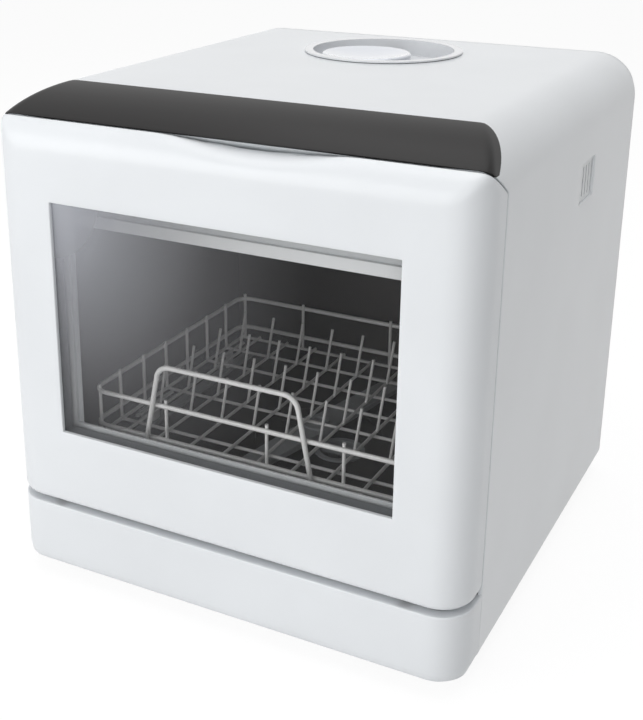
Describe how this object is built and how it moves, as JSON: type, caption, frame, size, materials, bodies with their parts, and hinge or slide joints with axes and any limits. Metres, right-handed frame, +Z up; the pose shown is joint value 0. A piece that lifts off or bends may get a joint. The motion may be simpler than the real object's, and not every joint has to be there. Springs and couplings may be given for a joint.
{
  "type": "countertop dishwasher",
  "caption": "White tank-fed countertop dishwasher with a drop-down windowed door, pull-out wire rack, spray arm and top filling dish.",
  "frame": {"origin": "centre of the footprint, on the table", "axes": "+X to the machine's right as seen from the front, +Y to the back, +Z up; the door faces -Y"},
  "size_m": [0.42, 0.435, 0.437],
  "materials": {
    "white_plastic": "semi-gloss",
    "white_gloss": "gloss",
    "dark_gloss": "gloss",
    "grey_plastic": "matte",
    "trim_plastic": "satin",
    "arm_plastic": "satin",
    "cap_gloss": "gloss",
    "liner_plastic": "satin",
    "black_plastic": "matte",
    "tank_plastic": "translucent white",
    "board": "matte",
    "tub_steel": "brushed",
    "hinge_steel": "satin",
    "screw_steel": "bright",
    "motor_metal": "satin",
    "foot_rubber": "matte",
    "seal_rubber": "matte",
    "hose_rubber": "matte",
    "rack_wire": "coated, satin",
    "wheel_plastic": "satin",
    "smoked_glass": "smoked",
    "clear_glass": "clear"
  },
  "bodies": {
    "machine": {"casing": "white_plastic", "control_strip": "dark_gloss", "front_apron": "white_plastic", "base_tray": "grey_plastic", "rear_cover": "white_plastic", "rear_screws": "screw_steel", "feet": "foot_rubber", "front_frame": "white_plastic", "hinge_brackets": "hinge_steel", "tub": "tub_steel", "rack_rails": "grey_plastic", "door_seal": "seal_rubber", "mouth_trim": "trim_plastic", "sump": "grey_plastic", "filter_plate": "tub_steel", "spray_hub": "grey_plastic", "spray_nut": "grey_plastic", "heater": "hinge_steel", "wash_pump": "black_plastic", "pump_motor": "motor_metal", "drain_pump": "black_plastic", "water_tank": "tank_plastic", "fill_dish": "white_gloss", "dish_gasket": "seal_rubber", "fill_strainer": "tub_steel", "fill_hose": "hose_rubber", "tank_hoses": "hose_rubber", "wash_hose": "hose_rubber", "drain_hose": "hose_rubber", "inlet_valve": "trim_plastic", "drain_port": "black_plastic", "power_gland": "black_plastic", "control_board": "board", "fan_housing": "black_plastic", "side_vent": "white_plastic", "latch_housing": "grey_plastic", "door_switch": "black_plastic"},
    "door": {"door_panel": "white_gloss", "door_liner": "liner_plastic", "door_glass": "smoked_glass", "inner_glass": "clear_glass", "window_seal": "seal_rubber", "hinge_shoes": "grey_plastic", "hinge_pins": "hinge_steel", "latch_tongue": "hinge_steel", "door_lip_seal": "seal_rubber"},
    "rack": {"dish_rack": "rack_wire", "rack_grid": "rack_wire", "rack_tines": "rack_wire", "rack_handle": "rack_wire"},
    "spray_arm": {"spray_arm": "arm_plastic"},
    "filter_cup": {"filter_cup": "grey_plastic"},
    "wash_impeller": {"wash_impeller": "trim_plastic"},
    "fan_wheel": {"fan_wheel": "grey_plastic"},
    "fill_cap": {"fill_cap": "cap_gloss"},
    "latch_jaw": {"latch_jaw": "black_plastic"},
    "wheel_front_left": {"wheel_front_left": "wheel_plastic"},
    "wheel_front_right": {"wheel_front_right": "wheel_plastic"},
    "wheel_rear_left": {"wheel_rear_left": "wheel_plastic"},
    "wheel_rear_right": {"wheel_rear_right": "wheel_plastic"}
  },
  "joints": [
    {"name": "door_hinge", "type": "hinge", "parent": "machine", "child": "door", "pos_m": [0, -0.2085, 0.086], "axis": [1, 0, 0], "range_deg": [0, 90]},
    {"name": "rack_slide", "type": "slide", "parent": "machine", "child": "rack", "axis": [0, -1, 0], "range_m": [0, 0.1]},
    {"name": "spray_arm_turn", "type": "hinge", "parent": "machine", "child": "spray_arm", "pos_m": [0, -0.0295, 0.106], "axis": [0, 0, 1], "continuous": true},
    {"name": "filter_cup_turn", "type": "hinge", "parent": "machine", "child": "filter_cup", "pos_m": [0.03, -0.0475, 0.097], "axis": [0, 0, 1], "range_deg": [0, 60]},
    {"name": "impeller_spin", "type": "hinge", "parent": "machine", "child": "wash_impeller", "pos_m": [0.095, -0.0295, 0.06], "axis": [1, 0, 0], "continuous": true},
    {"name": "fan_spin", "type": "hinge", "parent": "machine", "child": "fan_wheel", "pos_m": [0.19, 0.051, 0.352], "axis": [1, 0, 0], "continuous": true},
    {"name": "fill_cap_lift", "type": "slide", "parent": "machine", "child": "fill_cap", "axis": [0, 0, 1], "range_m": [0, 0.05]},
    {"name": "latch_jaw_swing", "type": "hinge", "parent": "machine", "child": "latch_jaw", "pos_m": [0, -0.1525, 0.395], "axis": [1, 0, 0], "range_deg": [-15, 4], "stiffness_Nm_per_rad": 0.05},
    {"name": "wheel_front_left_roll", "type": "hinge", "parent": "rack", "child": "wheel_front_left", "pos_m": [-0.151, -0.0875, 0.11], "axis": [1, 0, 0], "range_deg": [0, 640]},
    {"name": "wheel_front_right_roll", "type": "hinge", "parent": "rack", "child": "wheel_front_right", "pos_m": [0.151, -0.0875, 0.11], "axis": [1, 0, 0], "range_deg": [0, 640]},
    {"name": "wheel_rear_left_roll", "type": "hinge", "parent": "rack", "child": "wheel_rear_left", "pos_m": [-0.151, 0.0525, 0.11], "axis": [1, 0, 0], "range_deg": [0, 640]},
    {"name": "wheel_rear_right_roll", "type": "hinge", "parent": "rack", "child": "wheel_rear_right", "pos_m": [0.151, 0.0525, 0.11], "axis": [1, 0, 0], "range_deg": [0, 640]}
  ],
  "couplings": [
    {"joint": "rack_slide", "follows": "door_hinge", "m_per_rad": 0.0636},
    {"joint": "wheel_front_left_roll", "follows": "door_hinge", "ratio": 7.0667},
    {"joint": "wheel_front_right_roll", "follows": "door_hinge", "ratio": 7.0667},
    {"joint": "wheel_rear_left_roll", "follows": "door_hinge", "ratio": 7.0667},
    {"joint": "wheel_rear_right_roll", "follows": "door_hinge", "ratio": 7.0667}
  ]
}
